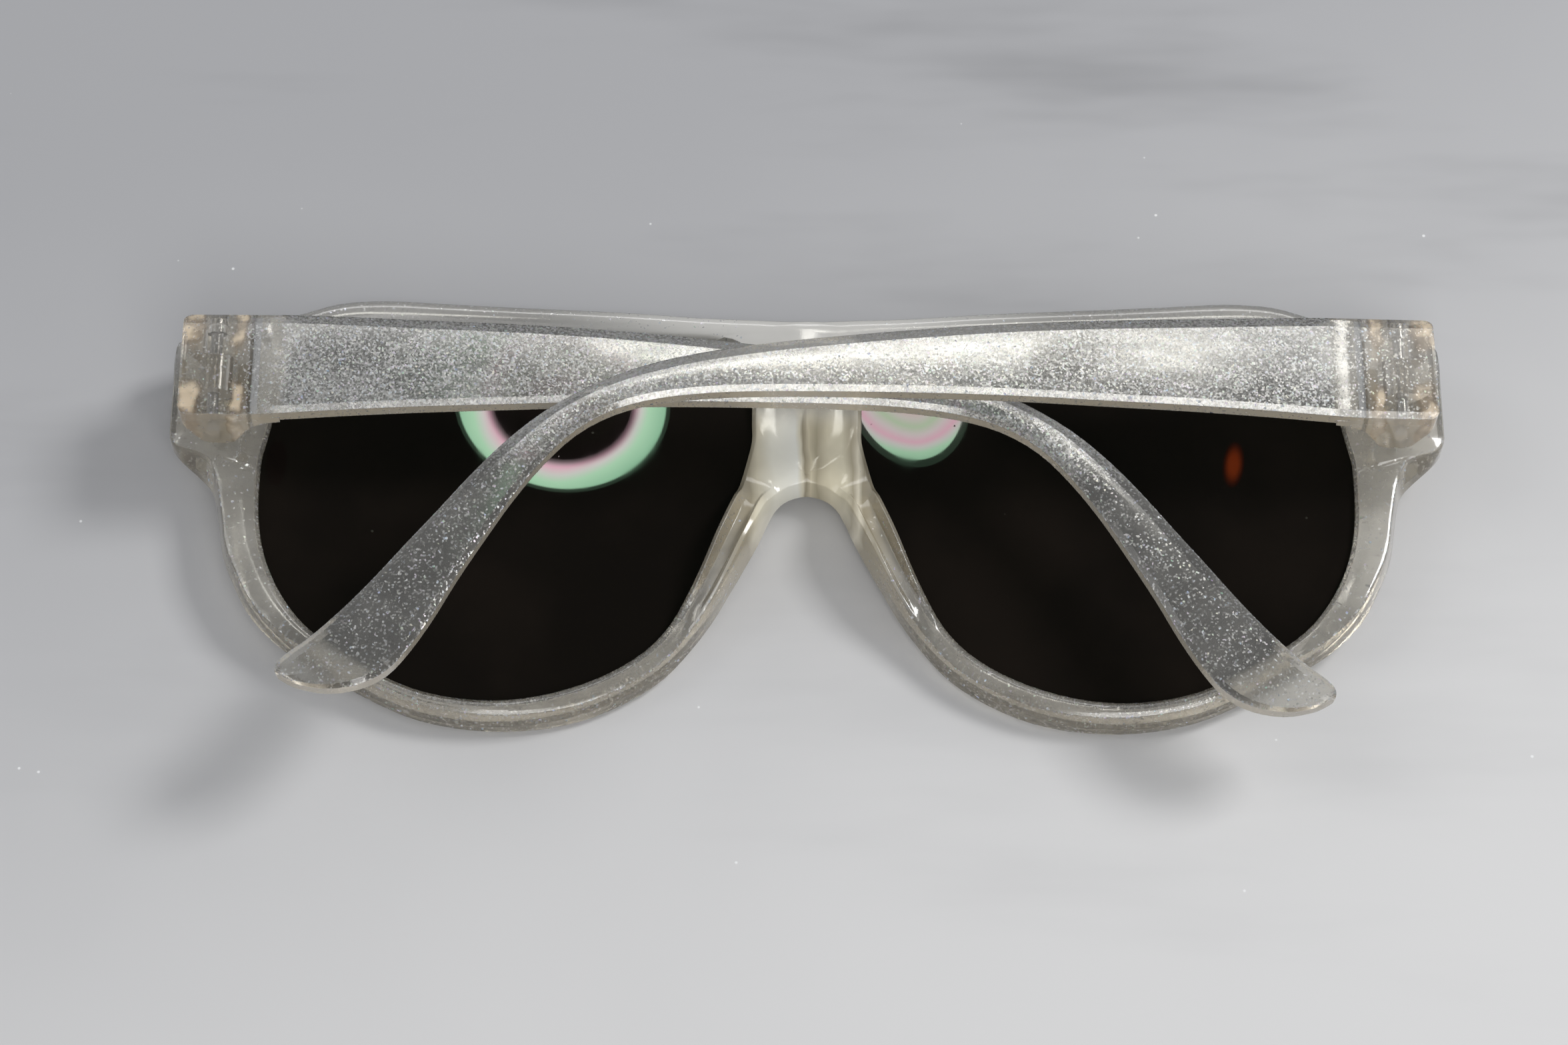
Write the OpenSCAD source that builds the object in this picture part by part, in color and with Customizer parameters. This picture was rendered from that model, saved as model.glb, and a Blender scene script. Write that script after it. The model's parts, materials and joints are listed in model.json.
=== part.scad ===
// Butterfly sunglasses, folded, lying with the front face down.
// X runs across the face, +Y towards the brow, +Z from the front face towards the wearer.
// Lengths are in millimetres and angles in degrees.
// The sections below can be edited: a range or a list of choices follows each value.

/* [Show] */
// Which piece to draw: all of them, or one by its name

/* [Front] */
// Width across the two endpieces
front_w = 147.4; // [140:0.1:155]
// Height of the front, from the lowest rim to the brow
front_h = 54.8; // [50:0.1:58]
// Radius of the wrap across each half of the front
wrap_r = 230; // [200:5:300]
// Distance of the wrap's lowest line from the middle, on each side
wrap_x = 28; // [24:1:32]
// Level of the flat face behind each endpiece, where the temple's end meets it
butt_z = 8.5; // [8.4:0.1:8.8]
// How far the rim's outer side spreads towards the front edge
rim_flare = 0.5; // [0:0.1:0.8]

/* [Lenses] */
// Thickness of each lens
lens_t = 1.8; // [1.4:0.1:2.0]
// Level of the lens's front face behind the front surface of the rim
lens_set = 1.3; // [1:0.1:1.5]
// Depth of the groove that holds the lens
groove_d = 0.8; // [0.6:0.1:1]
// Gap between the lens and the floor of its groove
lens_gap = 0.1; // [0.05:0.05:0.2]

/* [Hinges] */
// Height of the hinge pins above the table
pin_z = 12.1; // [12:0.1:12.4]
// Height of the front's tongue, along the pin
tongue_h = 4.4; // [4:0.1:5]
// Gap between the tongue and each ear of the temple
ear_gap = 0.1; // [0.05:0.05:0.2]
// Diameter of the screw's smooth shaft
shaft_d = 1.4; // [1.2:0.1:1.6]
// Diameter of the screw's head
head_d = 2.2; // [2:0.1:2.6]
// Radial running clearance of the shaft in the tongue
run_gap = 0.05; // [0.02:0.01:0.1]

/* [Temples] */
// Reach of each temple from its pin to the tip
temple_l = 126.4; // [118:0.1:132]
// Height of the temple's outer face over the pin
face_h = 5.7; // [5.4:0.1:6]
// Thickness of the temple at the hinge
temple_t = 2.5; // [2.2:0.1:2.8]
// Length over which the temple bows inwards by half its own length squared
bow_r = 3300; // [2800:100:5000]
// Angle by which the right temple stands open, lying on the left one
lie_open = 2.3; // [2.2:0.1:2.8]

/* [Hidden] */
$fn = 64;
tint_frame = [0.62, 0.6, 0.58];
tint_temple = [0.72, 0.72, 0.74];
tint_lens = [0.12, 0.11, 0.1];
tint_steel = [0.7, 0.7, 0.72];

// The pin stands so far in that an open temple is flush with the endpiece's side
pin_x = front_w / 2 - face_h;
pin_y = 13.2;
tongue_r = 1.8;
slot_r = tongue_r + 0.35;
ear_top = pin_y + 6.6;
ear_low = pin_y - 6.6;
head_h = 0.9;
shaft_end = ear_low + 1;
flush = 0.05;
ear_s = -3.5;
end_round = 1;
head_gap = 0.05;
head_sunk = 0.15;
cleft = 0.4;
past = 1;
far_out = 10;

// Stations round one half of the front. Each row holds a point on the edge of the lens
// opening, the point across from it on the outer edge, the thickness there, the depth of
// a hollow in the back, the outward spread of the front edge as a share of rim_flare,
// the drop of the web at the front edge and the share of the flat butt face. The points
// are drawn for a front of drawn_w by drawn_h.
drawn_w = 147.4;
drawn_h = 54.8;
half_rows = [
    // brow, from the middle outwards
    [8.2, 23.1, 0, 26.1, 4.2, 0, 0.4, 0, 0],
    [10.8, 23.9, 6, 26.6, 4.2, 0, 0.4, 0, 0],
    [15, 24.3, 12.5, 27.2, 4.2, 0, 0.4, 0, 0],
    [21, 24.7, 20, 28, 4.2, 0, 0.4, 0, 0],
    [28, 25, 27.6, 28.5, 4.2, 0, 0.4, 0, 0],
    [35, 25.2, 35.5, 28.8, 4.2, 0, 0.4, 0, 0],
    [42, 25.2, 43, 29, 4.2, 0, 0.4, 0, 0],
    [48.5, 25, 49.5, 29.05, 4.2, 0, 0.4, 0, 0],
    [53.5, 24.8, 55, 28.3, 4.2, 0, 0.4, 0, 0],
    [57, 23.8, 59.5, 26.5, 4.2, 0, 0.4, 0, 0],
    // endpiece
    [59, 22.3, 64.5, 24.6, 4.2, 0, 0.3, 0, 0.3],
    [60, 20.6, 69.6, 22.8, 4.2, 0, 0.1, 0, 1],
    [60.6, 19, 73, 21.6, 4.2, 0, 0, 0, 1],
    [61.1, 17, 73.7, 19.9, 4.2, 0, 0, 0, 1],
    [61.7, 14.4, 73.7, 15.5, 4.2, 0, 0, 0, 1],
    [62.2, 11.4, 73.7, 11.2, 4.2, 0, 0, 0, 1],
    [62.7, 8.8, 73.6, 8.7, 4.2, 0, 0, 0, 1],
    [63, 7.2, 72.6, 7.3, 4.2, 0, 0, 0.2, 1],
    [63.1, 5.9, 70.5, 6.6, 4.2, 0, 0, 1.4, 1],
    // outer side of the rim
    [63.1, 4.4, 68.8, 5.6, 4.2, 0, 0.2, 2, 0.4],
    [63.1, 1.8, 67.9, 2.9, 4.2, 0, 0.6, 1, 0],
    [62.9, -1.2, 67.1, -1.4, 4.2, 0, 1, 0.2, 0],
    [62.3, -4.6, 66.5, -4.9, 4.2, 0, 1, 0, 0],
    [61.2, -7.9, 65, -8.6, 4.2, 0, 1, 0, 0],
    [59.3, -11.4, 62.8, -12.5, 4.2, 0, 1, 0, 0],
    [56.6, -14.6, 58.9, -16.2, 4.2, 0, 1, 0, 0],
    // lower rim
    [52.4, -17.6, 53.6, -19.2, 4.2, 0, 1, 0, 0],
    [47.6, -20.3, 48.4, -22, 4.2, 0, 1, 0, 0],
    [43, -22, 43.6, -23.9, 4.2, 0, 1, 0, 0],
    [37.5, -22.8, 37.6, -24.9, 4.2, 0, 1, 0, 0],
    [32, -22.5, 31.6, -24.8, 4.2, 0, 1, 0, 0],
    [26.8, -21.2, 26, -23.7, 4.2, 0, 1, 0, 0],
    [22.2, -19.2, 20.9, -21.5, 4.2, 0, 1, 0, 0],
    [18.4, -16.6, 16.6, -18.6, 4.2, 0, 0.9, 0, 0],
    // nose flank with the moulded pad
    [15.6, -13.6, 13.3, -15, 4.6, 0, 0.6, 0, 0],
    [13.5, -10.2, 10.8, -11.6, 5.9, 0.6, 0.3, 0, 0],
    [11.8, -6.8, 8.8, -8.2, 7.2, 1.4, 0, 0, 0],
    [10.4, -3.4, 7, -4.8, 7.9, 1.8, 0, 0, 0],
    [9.2, -0.4, 5.5, -1.8, 7.7, 1.6, 0, 0, 0],
    [8.4, 2, 4.4, 0.8, 6.6, 0.9, 0, 0, 0],
    [7.8, 4.2, 3.4, 2.6, 4.6, 0, 0, 0, 0],
    [7.1, 7, 2, 3.7, 4.2, 0, 0, 0, 0],
    // bridge, up along the middle
    [6.4, 10.2, 0, 4.1, 4.2, 0, 0, 0, 0],
    [6.4, 12.4, 0, 7, 4.3, 0.4, 0, 0, 0],
    [6.4, 14.8, 0, 11, 4.4, 0.6, 0, 0, 0],
    [6.5, 18, 0, 16, 4.4, 0.6, 0, 0, 0],
    [7, 21, 0, 22, 4.3, 0.3, 0, 0, 0]
];

// Stations along a temple, from its hinge end: distance from the pin and height of a
// point on the upper edge, the same for the lower edge, and the thickness there. Beyond
// blade_s they are drawn for a temple that reaches drawn_l.
drawn_l = 126.4;
temple_rows = [
    [-3.5, 19.8, -3.5, 6.6, 2.5],
    [0, 19.8, 0, 6.6, 2.5],
    [5, 19.8, 5, 6.6, 2.5],
    [9, 19.8, 9, 6.8, 2.5],
    [15, 19.6, 15, 7.2, 2.45],
    [24, 19.2, 24, 7.7, 2.4],
    [34, 18.8, 34, 8.1, 2.35],
    [44, 18.2, 44, 8.5, 2.3],
    [54, 17.3, 54, 8.7, 2.3],
    [64, 16.2, 64, 8.7, 2.3],
    [73, 15, 72.5, 8.6, 2.3],
    [81, 13.5, 79, 8.3, 2.3],
    [87.5, 11.6, 85, 7.5, 2.3],
    [93, 9, 90, 6, 2.3],
    [98, 5.7, 94.3, 3.3, 2.3],
    [102.3, 1.7, 97.8, -0.5, 2.3],
    [106, -2.6, 101, -5, 2.3],
    [109.4, -7, 104, -10, 2.35],
    [112.8, -11.3, 107, -15.3, 2.4],
    [116.2, -15.7, 109.4, -20, 2.4],
    [119.6, -19.7, 111.8, -24, 2.4],
    [122.8, -23, 114.2, -27, 2.35],
    [125, -24.8, 117.2, -28.7, 2.3],
    [126.2, -26, 120.6, -29.3, 2.2],
    [126.4, -27, 123.4, -28.9, 2],
    [126.1, -27.6, 125, -28.3, 1.6]
];

// Height of the wrapped front surface above the table
function wrap(x) = wrap_r - sqrt(wrap_r * wrap_r - pow(abs(x) - wrap_x, 2));

// Point at share t of the way from b to c on the smooth curve through a, b, c and d
function between(a, b, c, d, t) =
    0.5 * (2 * b + (c - a) * t + (2 * a - 5 * b + 4 * c - d) * t * t
           + (3 * b - a - 3 * c + d) * t * t * t);

// Rows of a closed loop, each span cut into n parts
function closed_curve(rows, n) =
    [for (i = [0:len(rows) - 1], j = [0:n - 1])
        between(rows[(i + len(rows) - 1) % len(rows)], rows[i], rows[(i + 1) % len(rows)],
                rows[(i + 2) % len(rows)], j / n)];

// Rows of an open line, each span cut into n parts
function open_curve(rows, n) =
    let (last = len(rows) - 1)
    concat(
        [for (i = [0:last - 1], j = [0:n - 1])
            between(rows[max(i - 1, 0)], rows[i], rows[i + 1], rows[min(i + 2, last)], j / n)],
        [rows[last]]);

// Unit vector square to the line from p to q, on its left side
function left_of(p, q) = let (d = q - p) [-d.y, d.x] / norm(d);

// Outline of the lens opening and of the outer edge on the right side
half_cut = 3;
half_line = closed_curve(half_rows, half_cut);
half_n = len(half_line);
function sized(p) = [p.x * front_w / drawn_w, p.y * front_h / drawn_h];
function opening_at(i) = let (r = half_line[(i + half_n) % half_n]) sized([r[0], r[1]]);

// The outer edge meets the middle plane squarely, so there it takes its own mirror image
// for a neighbour, and between two points of that plane it is straight
function outer_row(i) = let (r = half_rows[(i + len(half_rows)) % len(half_rows)]) [r[2], r[3]];
function mirrored(p) = [-p.x, p.y];
function outer_point(i, t) =
    let (b = outer_row(i), c = outer_row(i + 1),
         a = b.x == 0 ? mirrored(c) : outer_row(i - 1),
         d = c.x == 0 ? mirrored(b) : outer_row(i + 2))
    b.x == 0 && c.x == 0 ? b + (c - b) * t : between(a, b, c, d, t);
outer_line = [for (i = [0:len(half_rows) - 1], j = [0:half_cut - 1])
    sized(outer_point(i, j / half_cut))];
function outer_at(i) = outer_line[(i + half_n) % half_n];

// Directions square to the two outlines, pointing into the rim and out of it
function into_rim(i) = left_of(opening_at(i - 1), opening_at(i + 1));
function out_of_rim(i) =
    outer_at(i).x > 0 ? left_of(outer_at(i - 1), outer_at(i + 1))
    : outer_at(i + 1).x > 0 ? [0, 1]
    : outer_at(i - 1).x > 0 ? [0, -1]
    : [0, 0];

// A point of the front: its place in plan and its height over the wrapped surface
function on_front(p, h) = [p.x, p.y, wrap(p.x) + h];

// The same on the back, drawn towards the level of the butt face by the share flat
function on_back(p, h, flat) =
    [p.x, p.y, (1 - flat) * (wrap(p.x) + h) + flat * butt_z];

// Section of the rim at one station, from the front face round the outer side
section_n = 16;
function nose_share(b) = b.y > nose_top ? 0 : max(1 - b.x / nose_x, 0);
function rim_section(i) =
    let (row = half_line[i], a = opening_at(i), b = outer_at(i), na = into_rim(i), nb = out_of_rim(i),
         h = row[4], hollow = max(row[5], 0), flare = max(row[6], 0) * rim_flare,
         web = [0, -max(row[7], 0)], flat = min(max(row[8], 0), 1),
         nose = nose_share(b), round_in = 0.5 + nose, round_down = 0.6 + 1.2 * nose,
         step = (butt_x - a.x) / max(b.x - a.x, 1),
         near = (1 - flat) * 0.33 + flat * (step - 0.12),
         far = (1 - flat) * 0.67 + flat * step,
         groove_top = lens_set + lens_t + groove_play, groove_low = lens_set - groove_play)
    [
        on_front(a + 0.5 * na, 0),
        on_front(b + (flare - 0.8) * nb + web, 0),
        on_front(b + flare * nb + web, 0.9),
        on_front(b + 0.4 * flare * nb + 0.8 * web, 2.3 - 0.9 * nose),
        on_back(b, h - round_down, 0) - [0, 0, flat * max(wrap(b.x) + h - butt_z, 0)],
        on_back(b - 0.3 * round_in * nb, h, flat) - [0, 0, 0.3 * round_down],
        on_back(b - round_in * nb, h, flat),
        on_back(far * b + (1 - far) * a, h + 0.15 - hollow, flat),
        on_back(near * b + (1 - near) * a, h + 0.15 - hollow, 0),
        on_front(a + 0.5 * na, h),
        on_front(a, h - 0.5),
        on_front(a, groove_top),
        on_front(a + groove_d * na, groove_top),
        on_front(a + groove_d * na, groove_low),
        on_front(a, groove_low),
        on_front(a, 0.5)
    ];
butt_x = pin_x - 2.6;
groove_play = 0.05;
nose_top = 5;
nose_x = 9;

// Sections of both halves, and the place of each point in the common list. Points on the
// middle plane belong to both halves and are listed once.
right_points = [for (i = [0:half_n - 1]) each rim_section(i)];
front_points = concat(right_points, [for (p = right_points) [-p.x, p.y, p.z]]);
function point_at(side, i, k) =
    let (at = (i % half_n) * section_n + k % section_n)
    side == 0 || right_points[at].x == 0 ? at : at + len(right_points);

// The outer side is open where the two halves meet on the middle plane
function on_seam(i) = outer_at(i).x == 0 && outer_at(i + 1).x == 0;
function keeps_strip(i, k) = !(on_seam(i) && k >= 1 && k <= 5);

front_faces = [
    for (i = [0:half_n - 1], k = [0:section_n - 1]) if (keeps_strip(i, k))
        each [
            [point_at(0, i, k), point_at(0, i + 1, k), point_at(0, i + 1, k + 1)],
            [point_at(0, i, k), point_at(0, i + 1, k + 1), point_at(0, i, k + 1)],
            [point_at(1, i, k), point_at(1, i + 1, k + 1), point_at(1, i + 1, k)],
            [point_at(1, i, k), point_at(1, i, k + 1), point_at(1, i + 1, k + 1)]
        ]
];

// Rod along the pin's axis between two levels of Y
module along_pin(d, y_low, y_high) {
    translate([0, y_low, 0])
        rotate([-90, 0, 0])
            cylinder(d = d, h = y_high - y_low);
}

// Profile in X and Z, drawn between two levels of Y
module across(y_low, y_high) {
    translate([0, y_high, 0])
        rotate([90, 0, 0])
            linear_extrude(y_high - y_low)
                children();
}

// Tongue of the front, seen from the pin's axis, with its bore
module tongue() {
    difference() {
        across(pin_y - tongue_h / 2, pin_y + tongue_h / 2)
            union() {
                circle(r = tongue_r);
                polygon([[-tongue_r, 0], [tongue_r, 0], [tongue_r + 0.5, butt_z - pin_z - past],
                         [-tongue_r, butt_z - pin_z - past]]);
            }
        along_pin(shaft_d + 2 * run_gap, pin_y - tongue_h, pin_y + tongue_h);
    }
}

module front_frame() {
    color(tint_frame)
        union() {
            polyhedron(front_points, front_faces);
            for (side = [0, 1])
                mirror([side, 0, 0])
                    translate([pin_x, 0, pin_z])
                        mirror([1, 0, 0])
                            tongue();
        }
}

// Outline of one lens: the opening's edge moved into the groove
lens_outline = [for (i = [0:half_n - 1]) opening_at(i) + (groove_d - lens_gap) * into_rim(i)];

module lens() {
    difference() {
        intersection() {
            linear_extrude(lens_set + lens_t + wrap(front_w / 2))
                polygon(lens_outline);
            wrap_drum(lens_set);
        }
        wrap_drum(lens_set + lens_t);
    }
}

// Everything behind the wrapped surface at height h
module wrap_drum(h) {
    translate([wrap_x, front_h, wrap_r + h])
        rotate([90, 0, 0])
            cylinder(r = wrap_r, h = 2 * front_h);
}

module lens_right() {
    color(tint_lens)
        lens();
}

module lens_left() {
    color(tint_lens)
        mirror([1, 0, 0])
            lens();
}

// Section of a temple at one station, round from the upper bevel. X is the distance from
// the pin, and Z is square to the outer face.
blade_s = 5;
blade_cut = 3;
blade_line = open_curve(temple_rows, blade_cut);
blade_n = len(blade_line);
function along(s) = s < blade_s ? s : blade_s + (s - blade_s) * (temple_l - blade_s) / (drawn_l - blade_s);
function blade_section(i) =
    let (row = blade_line[i], top = [along(row[0]), row[1]], low = [along(row[2]), row[3]],
         t = row[4] * temple_t / 2.5, up = (top - low) / norm(top - low), w = norm(top - low),
         out = face_h - pow(max((top + low).x / 2 - blade_s, 0), 2) / (2 * bow_r))
    [
        blade_point(top, out - 0.8),
        blade_point(top - min(1.5, 0.3 * w) * up, out - 0.1),
        blade_point((top + low) / 2, out),
        blade_point(low + min(0.7, 0.15 * w) * up, out - 0.1),
        blade_point(low, out - 0.5),
        blade_point(low, out - t + 0.4),
        blade_point(low + min(0.5, 0.1 * w) * up, out - t),
        blade_point(top - min(0.5, 0.1 * w) * up, out - t),
        blade_point(top, out - t + 0.4)
    ];
function blade_point(p, z) = [p.x, p.y, z];
blade_k = 9;
blade_points = [for (i = [0:blade_n - 1]) each blade_section(i)];
blade_faces = concat(
    [for (i = [0:blade_n - 2], k = [0:blade_k - 1])
        each [
            [i * blade_k + k, (i + 1) * blade_k + k, (i + 1) * blade_k + (k + 1) % blade_k],
            [i * blade_k + k, (i + 1) * blade_k + (k + 1) % blade_k, i * blade_k + (k + 1) % blade_k]
        ]],
    [[for (k = [0:blade_k - 1]) k]],
    [[for (k = [blade_k - 1:-1:0]) (blade_n - 1) * blade_k + k]]);

// Lug under the temple's hinge end, seen along the pin
module lug_profile() {
    inner = face_h - temple_t;
    union() {
        circle(r = tongue_r);
        polygon([[ear_s, inner + past], [ear_s, inner - 0.2], [-1.7, -0.6], [0, -tongue_r],
                 [1.5, -tongue_r], [2.3, -1.4], [2.9, -0.6], [3.6, 0.6], [4.4, inner - 1.5],
                 [5.3, inner - 0.8], [6.5, inner - 0.3], [8, inner], [8, inner + past]]);
    }
}

// What rounds one corner of the hinge end, seen from outside
module corner_waste() {
    difference() {
        translate([-past, -past])
            square(end_round + past);
        translate([end_round, end_round])
            circle(r = end_round);
    }
}

module end_corners() {
    translate([0, 0, -far_out])
        linear_extrude(2 * far_out)
            union() {
                translate([ear_s, ear_low])
                    corner_waste();
                translate([ear_s, ear_top])
                    mirror([0, 1])
                        corner_waste();
            }
}

// Room the tongue needs from the folded to the open position
module slot_profile() {
    union() {
        circle(r = slot_r);
        translate([-far_out, -far_out])
            square([far_out, far_out + slot_r]);
        translate([0, -far_out])
            square([slot_r + 0.4, far_out]);
    }
}

// A temple about its own pin: X along it, Z through its outer face
module temple() {
    difference() {
        union() {
            polyhedron(blade_points, blade_faces);
            across(ear_low + flush, ear_top - flush)
                lug_profile();
        }
        end_corners();
        across(pin_y - tongue_h / 2 - ear_gap, pin_y + tongue_h / 2 + ear_gap)
            slot_profile();
        along_pin(shaft_d, shaft_end - flush, ear_top);
        along_pin(head_d + 2 * head_gap, ear_top - head_h - head_sunk, ear_top + past);
    }
}

module temple_left() {
    color(tint_temple)
        translate([-pin_x, 0, pin_z])
            temple();
}

module temple_right() {
    color(tint_temple)
        translate([pin_x, 0, pin_z])
            rotate([0, lie_open, 0])
                mirror([1, 0, 0])
                    temple();
}

// Screw that holds a hinge together, with a slot in its head
module screw() {
    head_low = ear_top - head_h - head_sunk;
    difference() {
        union() {
            along_pin(shaft_d, shaft_end, head_low + head_h / 2);
            along_pin(head_d, head_low, head_low + head_h);
        }
        translate([-head_d, head_low + head_h - cleft, -cleft / 2])
            cube([2 * head_d, past, cleft]);
    }
}

module hinge_screw_left() {
    color(tint_steel)
        translate([-pin_x, 0, pin_z])
            screw();
}

module hinge_screw_right() {
    color(tint_steel)
        translate([pin_x, 0, pin_z])
            screw();
}

front_frame();
lens_left();
lens_right();
temple_left();
temple_right();
hinge_screw_left();
hinge_screw_right();
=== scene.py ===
"""Looks for the folded butterfly sunglasses: materials, floor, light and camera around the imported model."""
import json
import math

import bmesh
import bpy
from mathutils import Matrix, Vector

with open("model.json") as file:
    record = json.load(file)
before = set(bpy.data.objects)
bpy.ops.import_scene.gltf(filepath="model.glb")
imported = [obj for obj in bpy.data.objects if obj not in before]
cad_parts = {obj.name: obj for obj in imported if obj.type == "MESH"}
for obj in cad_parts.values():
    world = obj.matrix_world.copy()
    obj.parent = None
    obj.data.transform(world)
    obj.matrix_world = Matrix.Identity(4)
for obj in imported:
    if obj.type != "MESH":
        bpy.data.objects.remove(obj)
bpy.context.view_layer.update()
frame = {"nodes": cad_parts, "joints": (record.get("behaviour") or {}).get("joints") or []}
NODES = frame["nodes"]
SCENE = bpy.context.scene

FRONT = ("front_frame",)
LENSES = ("lens_left", "lens_right")
TEMPLES = ("temple_left", "temple_right")
SCREWS = ("hinge_screw_left", "hinge_screw_right")

# Lengths and places are in metres, in the frame's axes: +x to picture right, +y to the brow, +z up.
# A pair of numbers is a span: where a change begins and where it ends, or the two values it joins.
# A share runs from 0, none of it, to 1, all of it.
RISE = (0.0, 1.0)
FALL = (1.0, 0.0)
MIDDLE = (0.0, 0.0, 0.0)
WHITE = (1.0, 1.0, 1.0)

# camera: high above the table, looking across the glasses from the chin side
AIM = Vector((-0.0026, 0.0, 0.004))
RAISED = math.radians(62)
DISTANCE = 0.5025
ROLL = math.radians(0.25)
SENSOR_MM = 36
LENS_MM = 100
NEAREST = 0.01


def make_camera():
    data = bpy.data.cameras.new("camera")
    data.sensor_width = SENSOR_MM
    data.lens = LENS_MM
    data.clip_start = NEAREST
    camera = bpy.data.objects.new("camera", data)
    SCENE.collection.objects.link(camera)
    look = Vector((0, math.cos(RAISED), -math.sin(RAISED)))
    level = Vector((1, 0, 0))
    upright = level.cross(look)
    side = level * math.cos(ROLL) + upright * math.sin(ROLL)
    up = upright * math.cos(ROLL) - level * math.sin(ROLL)
    turn = Matrix((side, up, -look)).transposed()
    camera.matrix_world = Matrix.Translation(AIM - look * DISTANCE) @ turn.to_4x4()
    SCENE.camera = camera


# screen colour, each part from 0 to 255, as the linear colour that the nodes take, by the sRGB curve
def shade(red, green, blue):
    def linear(part):
        part = part / 255
        return part / 12.92 if part <= 0.04045 else ((part + 0.055) / 1.055) ** 2.4
    return (linear(red), linear(green), linear(blue), 1.0)


class Tree:
    """Nodes of one material, with a short call for each kind that is used here."""

    # a mix node's colour sockets share their names with its number sockets, so they go by place
    MIX_A = 6
    MIX_B = 7
    MIX_RESULT = 2

    # how alike the rounded and the real normal are where an edge begins, and where it is full
    EDGE_TURN = (0.985, 0.86)
    EDGE_SAMPLES = 4

    def __init__(self, name):
        self.material = bpy.data.materials.new(name)
        self.material.use_nodes = True
        self.nodes = self.material.node_tree.nodes
        self.links = self.material.node_tree.links
        self.nodes.clear()
        self.out = self.add("ShaderNodeOutputMaterial")

    def add(self, kind, **settings):
        node = self.nodes.new(kind)
        for key, value in settings.items():
            setattr(node, key, value)
        return node

    def put(self, socket, value):
        if isinstance(value, bpy.types.NodeSocket):
            self.links.new(value, socket)
        else:
            socket.default_value = value

    # place of the point in the frame, which stays with its piece when a joint moves it
    def place(self):
        return self.add("ShaderNodeTexCoord").outputs["Object"]

    def split(self, vector):
        node = self.add("ShaderNodeSeparateXYZ")
        self.put(node.inputs[0], vector)
        return node.outputs[0:3]

    def calc(self, how, a, b=0.0):
        node = self.add("ShaderNodeMath", operation=how)
        self.put(node.inputs[0], a)
        self.put(node.inputs[1], b)
        return node.outputs[0]

    def times(self, result, *others):
        for other in others:
            result = self.calc("MULTIPLY", result, other)
        return result

    def most(self, result, *others):
        for other in others:
            result = self.calc("MAXIMUM", result, other)
        return result

    def distance(self, a, b):
        return self.calc("SQRT", self.calc("ADD", self.times(a, a), self.times(b, b)))

    def vector(self, how, a, b=None, scale=None):
        node = self.add("ShaderNodeVectorMath", operation=how)
        self.put(node.inputs[0], a)
        if b is not None:
            self.put(node.inputs[1], b)
        if scale is not None:
            self.put(node.inputs["Scale"], scale)
        return node.outputs

    # a value moved from one span to another, and held at the ends
    def ramp(self, value, span, result=RISE, soft=True):
        node = self.add("ShaderNodeMapRange", interpolation_type="SMOOTHSTEP" if soft else "LINEAR")
        self.put(node.inputs["Value"], value)
        self.put(node.inputs["From Min"], span[0])
        self.put(node.inputs["From Max"], span[1])
        self.put(node.inputs["To Min"], result[0])
        self.put(node.inputs["To Max"], result[1])
        return node.outputs[0]

    # the first value where the share is none, the second where it is all
    def fade(self, share, at_none, at_all):
        return self.ramp(share, RISE, (at_none, at_all))

    def mix(self, share, a, b):
        node = self.add("ShaderNodeMix", data_type="RGBA", blend_type="MIX")
        self.put(node.inputs["Factor"], share)
        self.put(node.inputs[self.MIX_A], a)
        self.put(node.inputs[self.MIX_B], b)
        return node.outputs[self.MIX_RESULT]

    def noise(self, vector, scale, detail=2.0, rough=0.5):
        node = self.add("ShaderNodeTexNoise")
        self.put(node.inputs["Vector"], vector)
        self.put(node.inputs["Scale"], scale)
        self.put(node.inputs["Detail"], detail)
        self.put(node.inputs["Roughness"], rough)
        return node.outputs[0]

    # noise about its middle value, moving things this way and that by a small length or share
    def wobble(self, noise, reach):
        return self.times(self.calc("SUBTRACT", noise, 0.5), reach)

    def cells(self, vector, scale):
        node = self.add("ShaderNodeTexVoronoi", voronoi_dimensions="3D", feature="F1")
        self.put(node.inputs["Vector"], vector)
        self.put(node.inputs["Scale"], scale)
        return node.outputs

    # colour bands, each stop with its share and the three parts of its screen colour
    def colours(self, share, stops):
        node = self.add("ShaderNodeValToRGB")
        band = node.color_ramp
        while len(band.elements) < len(stops):
            band.elements.new(0.5)
        for element, (at, red, green, blue) in zip(band.elements, stops):
            element.position = at
            element.color = shade(red, green, blue)
        self.put(node.inputs[0], share)
        return node.outputs[0]

    def stretched(self, vector, scale):
        node = self.add("ShaderNodeMapping")
        self.put(node.inputs["Vector"], vector)
        node.inputs["Scale"].default_value = scale
        return node.outputs[0]

    # normal turned towards the direction that a random colour stands for
    def leaning(self, normal, colour, share):
        lean = self.vector("SUBTRACT", colour, (0.5, 0.5, 0.5))[0]
        lean = self.vector("SCALE", lean, scale=share)[0]
        return self.vector("NORMALIZE", self.vector("ADD", normal, lean)[0])[0]

    def bump(self, height, strength, distance, normal=None):
        node = self.add("ShaderNodeBump")
        self.put(node.inputs["Height"], height)
        self.put(node.inputs["Strength"], strength)
        self.put(node.inputs["Distance"], distance)
        if normal is not None:
            self.put(node.inputs["Normal"], normal)
        return node.outputs[0]

    # share that grows towards sharp edges, from how far the rounded normal leaves the real one
    def edge(self, radius):
        node = self.add("ShaderNodeBevel", samples=self.EDGE_SAMPLES)
        node.inputs["Radius"].default_value = radius
        real = self.add("ShaderNodeNewGeometry").outputs["Normal"]
        same = self.vector("DOT_PRODUCT", node.outputs[0], real)["Value"]
        return self.ramp(same, self.EDGE_TURN)

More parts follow.
